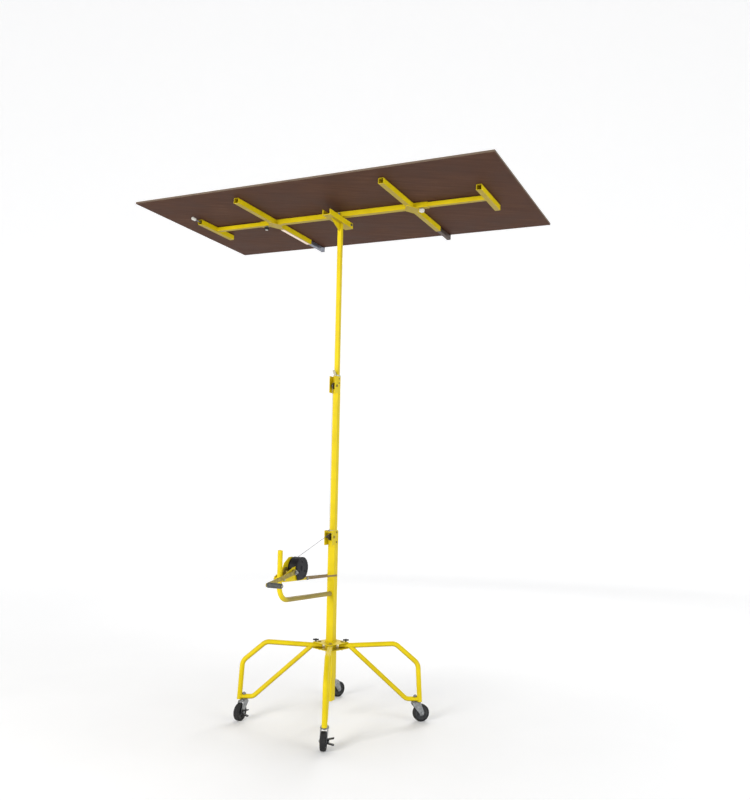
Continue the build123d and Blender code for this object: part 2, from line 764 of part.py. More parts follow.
# Tongue that lies in the head channel and carries the beam between two ears.
EAR_TOP = HEAD_Z + 36
with BuildPart() as tongue:
    with BuildSketch(side_plane(0)):
        with Locations(((SIDE_PIVOT[0] - 60) / 2, EAR_TOP - 15.5)):
            Rectangle(SIDE_PIVOT[0] + 60, 31)
        with Locations(SIDE_PIVOT):
            Circle(14)
    extrude(amount=23, both=True)
    with BuildSketch(side_plane(0)):
        with Locations((0, EAR_TOP - 33)):
            Rectangle(300, 60)
    extrude(amount=20, both=True, mode=Mode.SUBTRACT)
    for ear_y in (21.5, -17.5):
        with BuildSketch(front_plane(ear_y)):
            with Locations((0, PIVOT_Z)):
                Circle(11)
            with Locations((0, (EAR_TOP - 2 + PIVOT_Z) / 2)):
                Rectangle(22, PIVOT_Z - EAR_TOP + 2)
        extrude(amount=4)
    with BuildSketch(side_plane(-30)):
        with Locations(SIDE_PIVOT):
            Circle(5)
    extrude(amount=60, mode=Mode.SUBTRACT)
    with BuildSketch(front_plane(30)):
        with Locations((0, PIVOT_Z)):
            Circle(5)
    extrude(amount=60, mode=Mode.SUBTRACT)
write(tongue.part, "tilt_bracket", UNIT)

# The cross bolt that the tongue tips on, and the pin that the beam rocks on.
with BuildPart() as tilt_bolts:
    with BuildSketch(side_plane(-36)):
        with Locations(SIDE_PIVOT):
            Circle(5)
    extrude(amount=72)
    for start in (28.3, -34.3):
        with BuildSketch(side_plane(start)):
            with Locations(SIDE_PIVOT):
                RegularPolygon(9.24, 6)
        extrude(amount=6)
    with BuildSketch(front_plane(29)):
        with Locations((0, PIVOT_Z)):
            Circle(5)
    extrude(amount=58)
    for start in (27.5, -21.5):
        with BuildSketch(front_plane(start)):
            with Locations((0, PIVOT_Z)):
                RegularPolygon(9.24, 6)
        extrude(amount=6)
write(tilt_bolts.part, "tilt_bolts", UNIT)


# -------------------------------------------------------------- cradle

with BuildPart() as beam:
    with BuildSketch(Plane(origin=(-BEAM_HALF, 0, BEAM_Z), x_dir=(0, 1, 0),
                           z_dir=(1, 0, 0))):
        tube_section(BEAM_SIZE, 2)
    extrude(amount=2 * BEAM_HALF)
    with BuildSketch(front_plane(20)):
        with Locations((0, BEAM_Z)):
            Circle(5.05)
    extrude(amount=40, mode=Mode.SUBTRACT)
    with BuildSketch(Plane.XY.offset(-40)):
        with Locations((KNOB_X, 0), (-KNOB_X, 0)):
            Circle(4.2)
    extrude(amount=10, mode=Mode.SUBTRACT)
write(beam.part, "cradle_beam", CRADLE)

# Each crossarm is two half tubes butted to the beam over a diamond plate.
with BuildPart() as crossarm:
    half = CROSSARM_HALF - BEAM_SIZE / 2
    for direction in (1, -1):
        with BuildSketch(Plane(origin=(0, direction * BEAM_SIZE / 2, BEAM_Z),
                               x_dir=(1, 0, 0), z_dir=(0, direction, 0))):
            tube_section(BEAM_SIZE, 2)
        extrude(amount=half)
    with BuildSketch(Plane.XY.offset(BEAM_Z - BEAM_SIZE / 2 - 3)):
        Polygon((50, 0), (0, 85), (-50, 0), (0, -85), align=None)
        fillet(vertices(), 8)
    extrude(amount=3)
for side, direction in (("right", 1), ("left", -1)):
    place = CRADLE * Location((direction * CROSSARM_X, 0, 0))
    write(crossarm.part, f"{side}_crossarm", place)

# Beam extension: a smaller tube that slides in the beam, ending in a T-bar.
with BuildPart() as extension:
    with BuildSketch(Plane(origin=(EXTENSION_INNER, 0, BEAM_Z), x_dir=(0, 1, 0),
                           z_dir=(1, 0, 0))):
        tube_section(EXTENSION_SIZE, 2)
    extrude(amount=T_BAR_X - BEAM_SIZE / 2 - EXTENSION_INNER)
    with BuildSketch(Plane(origin=(T_BAR_X, -T_BAR_HALF, T_BAR_Z), x_dir=(1, 0, 0),
                           z_dir=(0, 1, 0))):
        tube_section(BEAM_SIZE, 2)
    extrude(amount=2 * T_BAR_HALF)
write(extension.part, "right_beam_extension", CRADLE)
write(extension.part, "left_beam_extension",
      CRADLE * Location((0, 0, 0), (0, 0, 180)))

# Hook bar: slides in a crossarm and turns up behind the edge of the board.
BOARD_EDGE = BOARD_SHIFT + BOARD[1] / 2
with BuildPart() as hook:
    with BuildSketch(Plane(origin=(0, HOOK_INNER, BEAM_Z), x_dir=(1, 0, 0),
                           z_dir=(0, 1, 0))):
        tube_section(EXTENSION_SIZE, 2)
    extrude(amount=BOARD_EDGE + 1 - HOOK_INNER)
    with BuildSketch(Plane(origin=(0, BOARD_EDGE + 1, 0), x_dir=(1, 0, 0),
                           z_dir=(0, 1, 0))):
        with Locations((0, -(14 - 31.3) / 2)):
            RectangleRounded(28, 45.3, 4)
    extrude(amount=4)
for side, direction in (("right", 1), ("left", -1)):
    place = CRADLE * Location((direction * CROSSARM_X, 0, 0))
    write(hook.part, f"{side}_hook_bar", place)

with BuildPart() as beam_knob:
    with BuildSketch(Plane.XY.offset(-42)):
        Circle(4)
    extrude(amount=42 - 33)
    with BuildSketch(Plane.XY.offset(-57)):
        Circle(14)
        with PolarLocations(13, 6):
            Circle(4)
    extrude(amount=15)
    fillet(beam_knob.faces().sort_by(Axis.Z)[0].edges(), 1.5)
for side, direction in (("right", 1), ("left", -1)):
    place = CRADLE * Location((direction * KNOB_X, 0, 0))
    write(beam_knob.part, f"{side}_beam_knob", place)

with BuildPart() as board:
    with BuildSketch(Plane.XY):
        with Locations((0, BOARD_SHIFT)):
            Rectangle(BOARD[0], BOARD[1])
    extrude(amount=BOARD[2])
write(board.part, "board", CRADLE)
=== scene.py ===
import bpy
import json
import math
from mathutils import Matrix, Vector


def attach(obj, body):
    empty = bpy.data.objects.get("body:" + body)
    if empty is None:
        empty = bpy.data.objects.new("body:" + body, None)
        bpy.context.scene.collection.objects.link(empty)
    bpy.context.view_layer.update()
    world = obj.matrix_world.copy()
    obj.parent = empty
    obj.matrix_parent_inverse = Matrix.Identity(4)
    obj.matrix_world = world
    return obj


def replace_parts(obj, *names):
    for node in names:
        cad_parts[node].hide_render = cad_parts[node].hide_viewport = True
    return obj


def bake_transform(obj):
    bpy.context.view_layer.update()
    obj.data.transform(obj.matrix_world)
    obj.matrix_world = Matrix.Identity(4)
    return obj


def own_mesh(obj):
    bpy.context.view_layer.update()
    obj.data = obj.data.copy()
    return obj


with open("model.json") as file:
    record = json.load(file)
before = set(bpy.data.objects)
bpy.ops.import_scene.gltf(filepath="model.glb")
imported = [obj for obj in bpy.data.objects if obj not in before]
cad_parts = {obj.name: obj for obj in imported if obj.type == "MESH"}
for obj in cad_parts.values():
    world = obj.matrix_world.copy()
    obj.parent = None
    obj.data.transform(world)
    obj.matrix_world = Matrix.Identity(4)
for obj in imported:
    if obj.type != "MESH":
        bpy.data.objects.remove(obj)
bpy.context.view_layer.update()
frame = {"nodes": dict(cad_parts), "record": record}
nodes = frame["nodes"]
MM = 0.001

# ------------------------------------------------- driving dimensions (mm)
UNIT_YAW = -26.4
CRADLE_SLOPE = 2.0
BOARD_UNDERSIDE = 3186
BEAM_Z = -17.3
CROSSARM_X = 506
KNOB_X = 575
T_BAR_X = 1004
STEM_REACH = 520
TRAIL = 38
WHEEL_R = 50
RAIL_R = 15
BRACE_R = 14
BASE_TOP = 1130
LOWER_SHEAVE = (-39.75, 1098)
UPPER_SHEAVE = (-35.25, 2040)
SHEAVE_PITCH = 20
LIFT_CABLE_R = 1.5
UPPER_CABLE_R = 1.0
DRUM_Y, DRUM_Z = -420, 941
CRANK_Y, CRANK_Z = -506, 925
GRIP_Y, GRIP_Z = -784, 884

# ------------------------------------------------------------------ frames
UNIT = Matrix.Rotation(math.radians(UNIT_YAW), 4, "Z")
CRADLE = (UNIT @ Matrix.Translation((0, 0, (BOARD_UNDERSIDE + BEAM_Z) * MM))
          @ Matrix.Rotation(math.radians(CRADLE_SLOPE), 4, "Y") @ Matrix.Translation((0, 0, -BEAM_Z * MM)))
# Bearing of each leg, where its caster trails, and whether it has a brake.
CASTERS = {
    "right": (0, 15, False), "back": (90, 40, False),
    "left": (180, 245, True), "front": (270, 266, True)}
FOLDING = {"right": "right_folding_leg", "left": "left_folding_leg"}


def caster_frame(side):
    bearing, trail, _ = CASTERS[side]
    a = math.radians(bearing)
    return (Matrix.Translation((STEM_REACH * MM * math.cos(a), STEM_REACH * MM * math.sin(a), 0))
            @ Matrix.Rotation(math.radians(trail), 4, "Z"))


def leg_frame(side):
    return Matrix.Rotation(math.radians(CASTERS[side][0]), 4, "Z")


# --------------------------------------------------------------- materials
def new_material(name):
    mat = bpy.data.materials.new(name)
    mat.use_nodes = True
    nt = mat.node_tree
    return mat, nt, nt.nodes["Principled BSDF"]


def coords(nt, scale=(1, 1, 1)):
    tc = nt.nodes.new("ShaderNodeTexCoord")
    mp = nt.nodes.new("ShaderNodeMapping")
    mp.inputs["Scale"].default_value = scale
    nt.links.new(tc.outputs["Object"], mp.inputs["Vector"])
    return mp.outputs["Vector"]


def noise_tex(nt, vec, scale, detail=4, rough=0.55):
    n = nt.nodes.new("ShaderNodeTexNoise")
    n.inputs["Scale"].default_value = scale
    n.inputs["Detail"].default_value = detail
    n.inputs["Roughness"].default_value = rough
    nt.links.new(vec, n.inputs["Vector"])
    return n.outputs["Fac"]


def ramp(nt, fac, stops):
    r = nt.nodes.new("ShaderNodeValToRGB")
    el = r.color_ramp.elements
    el[0].position, el[0].color = stops[0][0], (*stops[0][1], 1)
    el[1].position, el[1].color = stops[-1][0], (*stops[-1][1], 1)
    for pos, col in stops[1:-1]:
        e = el.new(pos)
        e.color = (*col, 1)
    nt.links.new(fac, r.inputs["Fac"])
    return r.outputs["Color"]


def remap(nt, fac, lo, hi, a, b):
    m = nt.nodes.new("ShaderNodeMapRange")
    for key, val in (("From Min", lo), ("From Max", hi), ("To Min", a), ("To Max", b)):
        m.inputs[key].default_value = val
    nt.links.new(fac, m.inputs["Value"])
    return m.outputs["Result"]


def bump(nt, bsdf, height, strength, distance):
    b = nt.nodes.new("ShaderNodeBump")
    b.inputs["Strength"].default_value = strength
    b.inputs["Distance"].default_value = distance
    nt.links.new(height, b.inputs["Height"])
    nt.links.new(b.outputs["Normal"], bsdf.inputs["Normal"])


def painted_underside_shade(nt, colour, under):
    """Painted shade: colour mixed towards a duller, darker tone on faces that look down."""
    geometry = nt.nodes.new("ShaderNodeNewGeometry")
    split = nt.nodes.new("ShaderNodeSeparateXYZ")
    nt.links.new(geometry.outputs["Normal"], split.inputs["Vector"])
    mix = nt.nodes.new("ShaderNodeMix")
    mix.data_type = "RGBA"
    mix.inputs["B"].default_value = (*under, 1)
    nt.links.new(remap(nt, split.outputs["Z"], -0.15, -0.85, 0.0, 0.8), mix.inputs["Factor"])
    nt.links.new(colour, mix.inputs["A"])
    return mix.outputs["Result"]


def surface(name, dark, mid, light, rough, metallic=0.0, patch=9.0, grain=700.0, bump_mm=0.04,
            gloss=0.5, bump_strength=0.35, stretch=(1, 1, 1), under=None):
    """Painted, plated or moulded surface: two scales of noise drive colour, roughness and relief."""
    mat, nt, bsdf = new_material(name)
    vec = coords(nt, stretch)
    big = noise_tex(nt, vec, patch, 5)
    fine = noise_tex(nt, vec, grain, 2)
    colour = ramp(nt, big, list(zip(TONE_STOPS, (dark, mid, light))))
    # Optional painted shade on faces that look down.
    if under:
        colour = painted_underside_shade(nt, colour, under)
    nt.links.new(colour, bsdf.inputs["Base Color"])
    nt.links.new(remap(nt, big, 0.3, 0.7, rough[0], rough[1]), bsdf.inputs["Roughness"])
    bsdf.inputs["Metallic"].default_value = metallic
    bsdf.inputs["Specular IOR Level"].default_value = gloss
    bump(nt, bsdf, fine, bump_strength, bump_mm * MM)
    return mat


YELLOW_TONES = ((0.65, 0.49, 0.003), (0.73, 0.56, 0.004), (0.78, 0.61, 0.007))
TONE_STOPS = (0.3, 0.52, 0.72)
# Level direction from the winch towards the mast, at the unit's yaw, and how far the painted shade on the
# bars takes to fade in.
UNIT_BACK = (0.4446, 0.8957, 0)
SHADE_FADE = 0.085
# Faces that look down take a painted shade of dull olive.
YELLOW = surface("yellow_powder_coat", *YELLOW_TONES,
                 (0.36, 0.52), patch=6, grain=1100, bump_mm=0.05, gloss=0.16, under=(0.26, 0.185, 0.016))
ZINC = surface("zinc_plate", (0.22, 0.23, 0.24), (0.31, 0.32, 0.33), (0.43, 0.44, 0.45), (0.28, 0.46),
               metallic=1.0, patch=85, grain=900, bump_mm=0.03)
PASSIVATED = surface("yellow_passivated_steel", (0.22, 0.165, 0.025), (0.31, 0.24, 0.04), (0.42, 0.34, 0.07),
                     (0.34, 0.5), metallic=0.4, patch=60, grain=900, bump_mm=0.03)
DARK_ZINC = surface("blue_passivated_tube", (0.15, 0.16, 0.19), (0.22, 0.235, 0.28), (0.30, 0.32, 0.37),
                    (0.30, 0.5), metallic=0.9, patch=40, grain=600, bump_mm=0.03)
BROWN_STEEL = surface("browned_tube", (0.050, 0.032, 0.024), (0.075, 0.048, 0.036), (0.105, 0.072, 0.055),
                      (0.4, 0.6), metallic=0.5, patch=30, grain=600, bump_mm=0.03)
BLACK = surface("black_enamel", (0.005, 0.005, 0.007), (0.009, 0.009, 0.012), (0.016, 0.016, 0.020),
                (0.36, 0.5), patch=30, grain=900, bump_mm=0.05, gloss=0.2)
BLACK_PLASTIC = surface("black_moulding", (0.010, 0.010, 0.011), (0.018, 0.018, 0.019), (0.028, 0.028, 0.029),
                        (0.42, 0.6), patch=50, grain=1500, bump_mm=0.05, gloss=0.35)
# Dark olive sheaves: painted shade, the tone of the shade inside the pulley brackets.
SHEAVE_PAINTED_SHADE = surface("sheave_moulding_painted_shade", (0.050, 0.040, 0.016), (0.075, 0.060, 0.024), (0.10, 0.082, 0.034),
                        (0.42, 0.6), patch=50, grain=1500, bump_mm=0.05, gloss=0.3)
TYRE = surface("tyre_rubber", (0.012, 0.012, 0.013), (0.021, 0.021, 0.022), (0.036, 0.035, 0.034),
               (0.62, 0.82), patch=45, grain=1300, bump_mm=0.12, gloss=0.3)
WHEEL = surface("wheel_core", (0.030, 0.031, 0.033), (0.048, 0.049, 0.052), (0.072, 0.073, 0.077),
                (0.42, 0.58), patch=40, grain=1200, bump_mm=0.05, gloss=0.35)
NYLON = surface("nylon_guide", (0.42, 0.40, 0.30), (0.52, 0.50, 0.40), (0.60, 0.58, 0.49), (0.4, 0.55),
                patch=60, grain=1200, bump_mm=0.04)
PALE = surface("pale_moulding", (0.55, 0.54, 0.48), (0.64, 0.63, 0.58), (0.72, 0.71, 0.67), (0.35, 0.5),
               patch=60, grain=1200, bump_mm=0.04)
# Pinkish pale: a painted highlight along the left crossarm.
PAINTED_HIGHLIGHT = surface("pinkish_painted_highlight", (0.74, 0.58, 0.48), (0.84, 0.69, 0.58), (0.90, 0.78, 0.68), (0.5, 0.65),
               patch=60, grain=1200, bump_mm=0.04)
GRIP = surface("grip_sleeve", (0.040, 0.044, 0.042), (0.062, 0.067, 0.064), (0.10, 0.105, 0.10), (0.5, 0.68),
               patch=70, grain=1500, bump_mm=0.06)
ROPE = surface("wire_rope", (0.18, 0.18, 0.19), (0.28, 0.28, 0.29), (0.40, 0.40, 0.41), (0.32, 0.5),
               metallic=1.0, patch=300, grain=2500, bump_mm=0.03)


def board_material():
    """Brown film over ply: faint grain along the sheet and cloudy scuffs."""
    mat, nt, bsdf = new_material("brown_film_face")
    vec = coords(nt)
    along = coords(nt, (0.9, 14, 1))
    cloud = noise_tex(nt, vec, 3.2, 6, 0.62)
    grain = noise_tex(nt, along, 4.0, 8, 0.65)
    speck = noise_tex(nt, vec, 55, 3)
    mix = nt.nodes.new("ShaderNodeMix")
    mix.inputs["Factor"].default_value = 0.45
    nt.links.new(cloud, mix.inputs["A"])
    nt.links.new(grain, mix.inputs["B"])
    colour = ramp(nt, mix.outputs["Result"],
                  [(0.30, (0.046, 0.018, 0.009)), (0.48, (0.066, 0.028, 0.016)),
                   (0.60, (0.084, 0.039, 0.023)), (0.74, (0.125, 0.066, 0.042))])
    nt.links.new(colour, bsdf.inputs["Base Color"])
    nt.links.new(remap(nt, cloud, 0.3, 0.7, 0.5, 0.68), bsdf.inputs["Roughness"])
    bsdf.inputs["Specular IOR Level"].default_value = 0.06
    bump(nt, bsdf, speck, 0.25, 0.2 * MM)
    return mat


def ply_edge_material():
    """Cut edge of the sheet: thin plies across its thickness."""
    mat, nt, bsdf = new_material("ply_edge")
    tc = nt.nodes.new("ShaderNodeTexCoord")
    turn = nt.nodes.new("ShaderNodeMapping")
    turn.vector_type = "TEXTURE"
    turn.inputs["Rotation"].default_value = CRADLE.to_euler()
    nt.links.new(tc.outputs["Object"], turn.inputs["Vector"])
    wave = nt.nodes.new("ShaderNodeTexWave")
    wave.bands_direction = "Z"
    wave.inputs["Scale"].default_value = 130
    wave.inputs["Distortion"].default_value = 1.2
    wave.inputs["Detail"].default_value = 3
    nt.links.new(turn.outputs["Vector"], wave.inputs["Vector"])
    blotch = noise_tex(nt, turn.outputs["Vector"], 20, 5)
    mix = nt.nodes.new("ShaderNodeMix")
    mix.inputs["Factor"].default_value = 0.4
    nt.links.new(wave.outputs["Fac"], mix.inputs["A"])
    nt.links.new(blotch, mix.inputs["B"])
    colour = ramp(nt, mix.outputs["Result"],
                  [(0.15, (0.045, 0.028, 0.018)), (0.5, (0.11, 0.072, 0.045)), (0.85, (0.24, 0.17, 0.11))])
    nt.links.new(colour, bsdf.inputs["Base Color"])
    nt.links.new(remap(nt, blotch, 0.3, 0.7, 0.6, 0.8), bsdf.inputs["Roughness"])
    bump(nt, bsdf, wave.outputs["Fac"], 0.3, 0.15 * MM)
    return mat


def shaded_bar_material(name, start, dark, mid, light):
    """Yellow at the end by the handle and a darker tone along the bars that run to the mast: painted shade
    for the shade those thin bars sit in.
    """
    mat, nt, bsdf = new_material(name)
    vec = coords(nt)
    big = noise_tex(nt, vec, 6, 5)
    post = ramp(nt, big, list(zip(TONE_STOPS, YELLOW_TONES)))
    bars = ramp(nt, big, list(zip(TONE_STOPS, (dark, mid, light))))
    away = nt.nodes.new("ShaderNodeVectorMath")
    away.operation = "DOT_PRODUCT"
    away.inputs[1].default_value = UNIT_BACK
    nt.links.new(vec, away.inputs[0])
    mix = nt.nodes.new("ShaderNodeMix")
    mix.data_type = "RGBA"
    nt.links.new(remap(nt, away.outputs["Value"], start, start + SHADE_FADE, 0.0, 1.0), mix.inputs["Factor"])
    nt.links.new(post, mix.inputs["A"])
    nt.links.new(bars, mix.inputs["B"])
    nt.links.new(mix.outputs["Result"], bsdf.inputs["Base Color"])
    nt.links.new(remap(nt, big, 0.3, 0.7, 0.36, 0.52), bsdf.inputs["Roughness"])
    bsdf.inputs["Specular IOR Level"].default_value = 0.16
    bump(nt, bsdf, noise_tex(nt, vec, 1100, 2), 0.35, 0.05 * MM)
    return mat


FILM = board_material()
# The darker bar and plate tones are painted shade.
WINCH_BAR_PAINTED_SHADE = shaded_bar_material("winch_bar_painted_shade", -0.585, (0.28, 0.21, 0.045), (0.34, 0.26, 0.060),
                               (0.41, 0.32, 0.080))
WINCH_PLATE_PAINTED_SHADE = shaded_bar_material("winch_plate_painted_shade", -0.40, (0.19, 0.125, 0.055), (0.25, 0.17, 0.075),
                                 (0.32, 0.23, 0.10))
PLY = ply_edge_material()


# ---------------------------------------------------------------- meshes
def finish_mesh(obj, mat, body, bevel=0.0, smooth=35):
    obj.data.materials.append(mat)
    for poly in obj.data.polygons:
        poly.use_smooth = True
    obj.data.set_sharp_from_angle(angle=math.radians(smooth))
    if bevel:
        m = obj.modifiers.new("edges", "BEVEL")
        m.width = bevel
        m.segments = 2
        m.limit_method = "ANGLE"
        m.angle_limit = math.radians(40)
    if body:
        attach(obj, body)
    return obj


def mesh_piece(name, verts, faces, mat, body, matrix=Matrix.Identity(4), bevel=0.0, smooth=35):
    me = bpy.data.meshes.new(name)
    me.from_pydata([tuple(matrix @ Vector(v)) for v in verts], [], faces)
    me.validate()
    me.update()
    obj = bpy.data.objects.new(name, me)
    bpy.context.scene.collection.objects.link(obj)
    return finish_mesh(obj, mat, body, bevel, smooth)


def lathe_data(profile, seg):
    """Profile of (radius, height) points turned about Z; radius 0 closes an end."""
    verts, faces, rings = [], [], []
    for r, h in profile:
        if r < 1e-9:
            rings.append([len(verts)])
            verts.append((0, 0, h))
        else:
            rings.append(list(range(len(verts), len(verts) + seg)))
            verts += [(r * math.cos(2 * math.pi * k / seg), r * math.sin(2 * math.pi * k / seg), h)
                      for k in range(seg)]
    closed = profile[0] == profile[-1]
    if closed:
        verts = verts[:-seg]
        rings[-1] = rings[0]
    for a, b in zip(rings, rings[1:]):
        for k in range(seg):
            n = (k + 1) % seg
            if len(a) == 1 and len(b) == 1:
                continue
            if len(a) == 1:
                faces.append((a[0], b[k], b[n]))
            elif len(b) == 1:
                faces.append((a[k], a[n], b[0]))
            else:
                faces.append((a[k], a[n], b[n], b[k]))
    return verts, faces


def lathe(name, profile_mm, mat, body, matrix, seg=64, smooth=35):
    profile = [(r * MM, h * MM) for r, h in profile_mm]
    verts, faces = lathe_data(profile, seg)
    return mesh_piece(name, verts, faces, mat, body, matrix, smooth=smooth)


def axis_at(matrix, point_mm, direction):
    """Frame with its Z along direction at a point, both given in another frame."""
    z = Vector(direction).normalized()
    rot = z.to_track_quat("Z", "Y").to_matrix().to_4x4()
    return matrix @ Matrix.Translation(Vector(point_mm) * MM) @ rot


def sweep_data(points, ring, section, closed=False):
    """Tube along points; section(i, s, angle) gives the radius. Parallel transport keeps it untwisted."""
    pts = [Vector(p) for p in points]
    n = len(pts)
    tangents = []
    for i in range(n):
        a = pts[i - 1] if (i > 0 or closed) else pts[0]
        b = pts[(i + 1) % n] if (i < n - 1 or closed) else pts[-1]
        tangents.append((b - a).normalized())
    side = tangents[0].orthogonal().normalized()
    verts, faces = [], []
    run = 0.0
    for i, p in enumerate(pts):
        if i:
            run += (p - pts[i - 1]).length
            side = (side - tangents[i] * side.dot(tangents[i])).normalized()
        other = tangents[i].cross(side)
        for k in range(ring):
            a = 2 * math.pi * k / ring
            r = section(i, run, a)
            verts.append(p + side * (r * math.cos(a)) + other * (r * math.sin(a)))
    rows = n if closed else n - 1
    for i in range(rows):
        j = (i + 1) % n
        for k in range(ring):
            m = (k + 1) % ring
            faces.append((i * ring + k, i * ring + m, j * ring + m, j * ring + k))
    if not closed:
        faces.append(tuple(range(ring))[::-1])
        faces.append(tuple(range((n - 1) * ring, n * ring)))
    return verts, faces


def weld(name, points_mm, body, matrix, radius=2.2, closed=False, mat=None):
    """Fillet weld: a thin bead with the ripple of the run."""
    pts = resample([Vector(p) * MM for p in points_mm], 1.6 * MM, closed)
    r0 = radius * MM

    def section(i, s, a):
        return r0 * (1 + 0.13 * math.sin(i * 1.9) + 0.05 * math.sin(i * 5.3))
    verts, faces = sweep_data(pts, 8, section, closed)
    return mesh_piece(name, verts, faces, mat or YELLOW, body, matrix, smooth=60)


def resample(pts, step, closed=False):
    if closed:
        pts = pts + [pts[0]]
    out = []
    for a, b in zip(pts, pts[1:]):
        n = max(1, int(round((b - a).length / step)))
        out += [a.lerp(b, k / n) for k in range(n)]
    if not closed:
        out.append(pts[-1])
    return out


def rope(name, points_mm, radius, matrix, body=None, pitch=11.0, step=1.6, mat=None):
    """Wire rope of six strands laid round the path."""
    pts = resample([Vector(p) * MM for p in points_mm], step * MM)

    def section(i, s, a):
        turn = 2 * math.pi * s / (pitch * MM)
        return radius * MM * (0.90 + 0.10 * abs(math.cos(3 * (a - turn))))
    verts, faces = sweep_data(pts, 24, section)
    return mesh_piece(name, verts, faces, mat or ROPE, body, matrix, smooth=70)


def prism(name, outline_mm, low, high, mat, body, matrix, bevel=0.6):
    """Flat piece of an outline in local X and Y, between two heights."""
    n = len(outline_mm)
    verts = [(x * MM, y * MM, low * MM) for x, y in outline_mm]
    verts += [(x * MM, y * MM, high * MM) for x, y in outline_mm]
    faces = [tuple(range(n))[::-1], tuple(range(n, 2 * n))]
    faces += [(k, (k + 1) % n, n + (k + 1) % n, n + k) for k in range(n)]
    return mesh_piece(name, verts, faces, mat, body, matrix, bevel=bevel * MM)


def side_frame(x_mm):
    """Frame whose X and Y are the unit's Y and Z, at x."""
    m = Matrix(((0, 0, 1, x_mm * MM), (1, 0, 0, 0), (0, 1, 0, 0), (0, 0, 0, 1)))
    return UNIT @ m


# ---------------------------------------------------------------- CAD nodes
FINISH = {
    "zinc": ZINC, "yellow_paint": YELLOW, "steel_cable": ROPE, "black_paint": BLACK, "tyre_rubber": TYRE,
    "wheel_plastic": WHEEL, "guide_plastic": NYLON, "knob_plastic": PALE, "black_plastic": BLACK_PLASTIC,
    "grip_plastic": GRIP, "board_film": FILM}
slots = {s["node"]: s["material_slot"] for s in frame["record"]["subparts"]}
OWN_FINISH = {
    "left_hook_bar": DARK_ZINC, "right_hook_bar": BROWN_STEEL, "left_beam_knob": BLACK_PLASTIC,
    "lower_sheave": SHEAVE_PAINTED_SHADE, "upper_sheave": SHEAVE_PAINTED_SHADE, "frame_bolts": PASSIVATED,
    "upper_pulley_bolts": PASSIVATED, "crank_arm": PASSIVATED, "winch_arm_tube": WINCH_BAR_PAINTED_SHADE,
    "winch_frame": WINCH_PLATE_PAINTED_SHADE}
for name, obj in nodes.items():
    obj.data.materials.clear()
    obj.data.materials.append(OWN_FINISH.get(name, FINISH[slots[name]]))
    if name == "board":
        continue
    edge = obj.modifiers.new("edges", "BEVEL")
    edge.width = 0.5 * MM
    edge.segments = 2
    edge.limit_method = "ANGLE"
    edge.angle_limit = math.radians(42)

# The sheet's rim shows its plies.
board = nodes["board"]
board.data.materials.append(PLY)
lift = CRADLE.to_3x3() @ Vector((0, 0, 1))
turn_back = board.matrix_world.to_3x3()
for poly in board.data.polygons:
    normal = (turn_back @ poly.normal).normalized()
    poly.material_index = 0 if abs(normal.dot(lift)) > 0.7 else 1

# ----------------------------------------------------------------- casters
TYRE_PROFILE = [(38, -15), (38.6, -15.9), (41, -16), (41.6, -15.6), (42.4, -15.6), (43, -16), (45, -15.9),
                (47.4, -15.1), (49.1, -13.3), (49.8, -11), (50, -8.6), (50, -1.3), (49.2, -0.9), (49.2, 0.9),
                (50, 1.3), (50, 8.6), (49.8, 11), (49.1, 13.3), (47.4, 15.1), (45, 15.9), (43, 16),
                (42.4, 15.6), (41.6, 15.6), (41, 16), (38.6, 15.9), (38, 15), (38, -15)]
for side, (bearing, trail, braked) in CASTERS.items():
    at = caster_frame(side)
    axle = axis_at(at, (TRAIL, 0, WHEEL_R), (0, 1, 0))
    tyre = lathe(f"{side}_tyre_tread", TYRE_PROFILE, TYRE, f"{side}_wheel", axle, seg=96)
    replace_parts(tyre, f"{side}_caster_tyre")
    for s in (1, -1):
        rib_frame = axis_at(at, (TRAIL, 0, WHEEL_R), (0, s, 0))
        ribs_v, ribs_f = [], []
        for k in range(5):
            a = 2 * math.pi * k / 5
            rot = Matrix.Rotation(a, 4, "Z")
            base = len(ribs_v)
            for z in (7.9, 12.4):
                for x, y in ((14.4, -2.2), (32.4, -1.6), (32.4, 1.6), (14.4, 2.2)):
                    ribs_v.append(rot @ Vector((x * MM, y * MM, z * MM)))
            ribs_f += [tuple(base + i for i in f) for f in
                       ((3, 2, 1, 0), (4, 5, 6, 7), (0, 1, 5, 4), (1, 2, 6, 5), (2, 3, 7, 6), (3, 0, 4, 7))]
        mesh_piece(f"{side}_wheel_ribs_{'a' if s > 0 else 'b'}", ribs_v, ribs_f, WHEEL, f"{side}_wheel",
                   rib_frame, bevel=0.5 * MM)
        out = 29.5 if (braked and s > 0) else (23.0 if s > 0 else 23.5)
        lathe(f"{side}_axle_rivet_{'a' if s > 0 else 'b'}",
              [(6.6, out - 0.2), (6.4, out + 0.9), (4.8, out + 1.9), (2.4, out + 2.4), (0, out + 2.5)],
              ZINC, f"{side}_caster", rib_frame, seg=32)
    lathe(f"{side}_swivel_race", [(22.4, 106.4), (24.6, 107.0), (25.2, 108.6), (25.2, 110.4), (24.4, 111.6),
                                  (23.6, 111.6), (23.6, 107.6), (22.4, 106.4)],
          ZINC, f"{side}_caster", at, seg=64)
    lathe(f"{side}_crown_lip", [(15.5, 116.65), (16.8, 116.9), (18.2, 116.65), (18.2, 116.2), (15.5, 116.2),
                                (15.5, 116.65)], ZINC, f"{side}_caster", at, seg=48)
    leg_body = FOLDING.get(side, "base")
    stem = leg_frame(side) @ Matrix.Translation((STEM_REACH * MM, 0, 0))
    lathe(f"{side}_stem_end", [(5.4, 153.9), (5.4, 157.2), (4.6, 158.2), (0, 158.2)], ZINC, leg_body, stem,
          seg=32)
    lathe(f"{side}_stem_washer", [(6.1, 145.4), (12.6, 145.4), (12.9, 145.9), (12.9, 146.6), (12.6, 147.0),
                                  (6.1, 147.0), (6.1, 145.4)], ZINC, leg_body, stem, seg=48)

def square(half, *z):
    """Corners of a square about the mast axis, with a height where one is given."""
    return [(x, y, *z) for x, y in ((-half, -half), (half, -half), (half, half), (-half, half))]


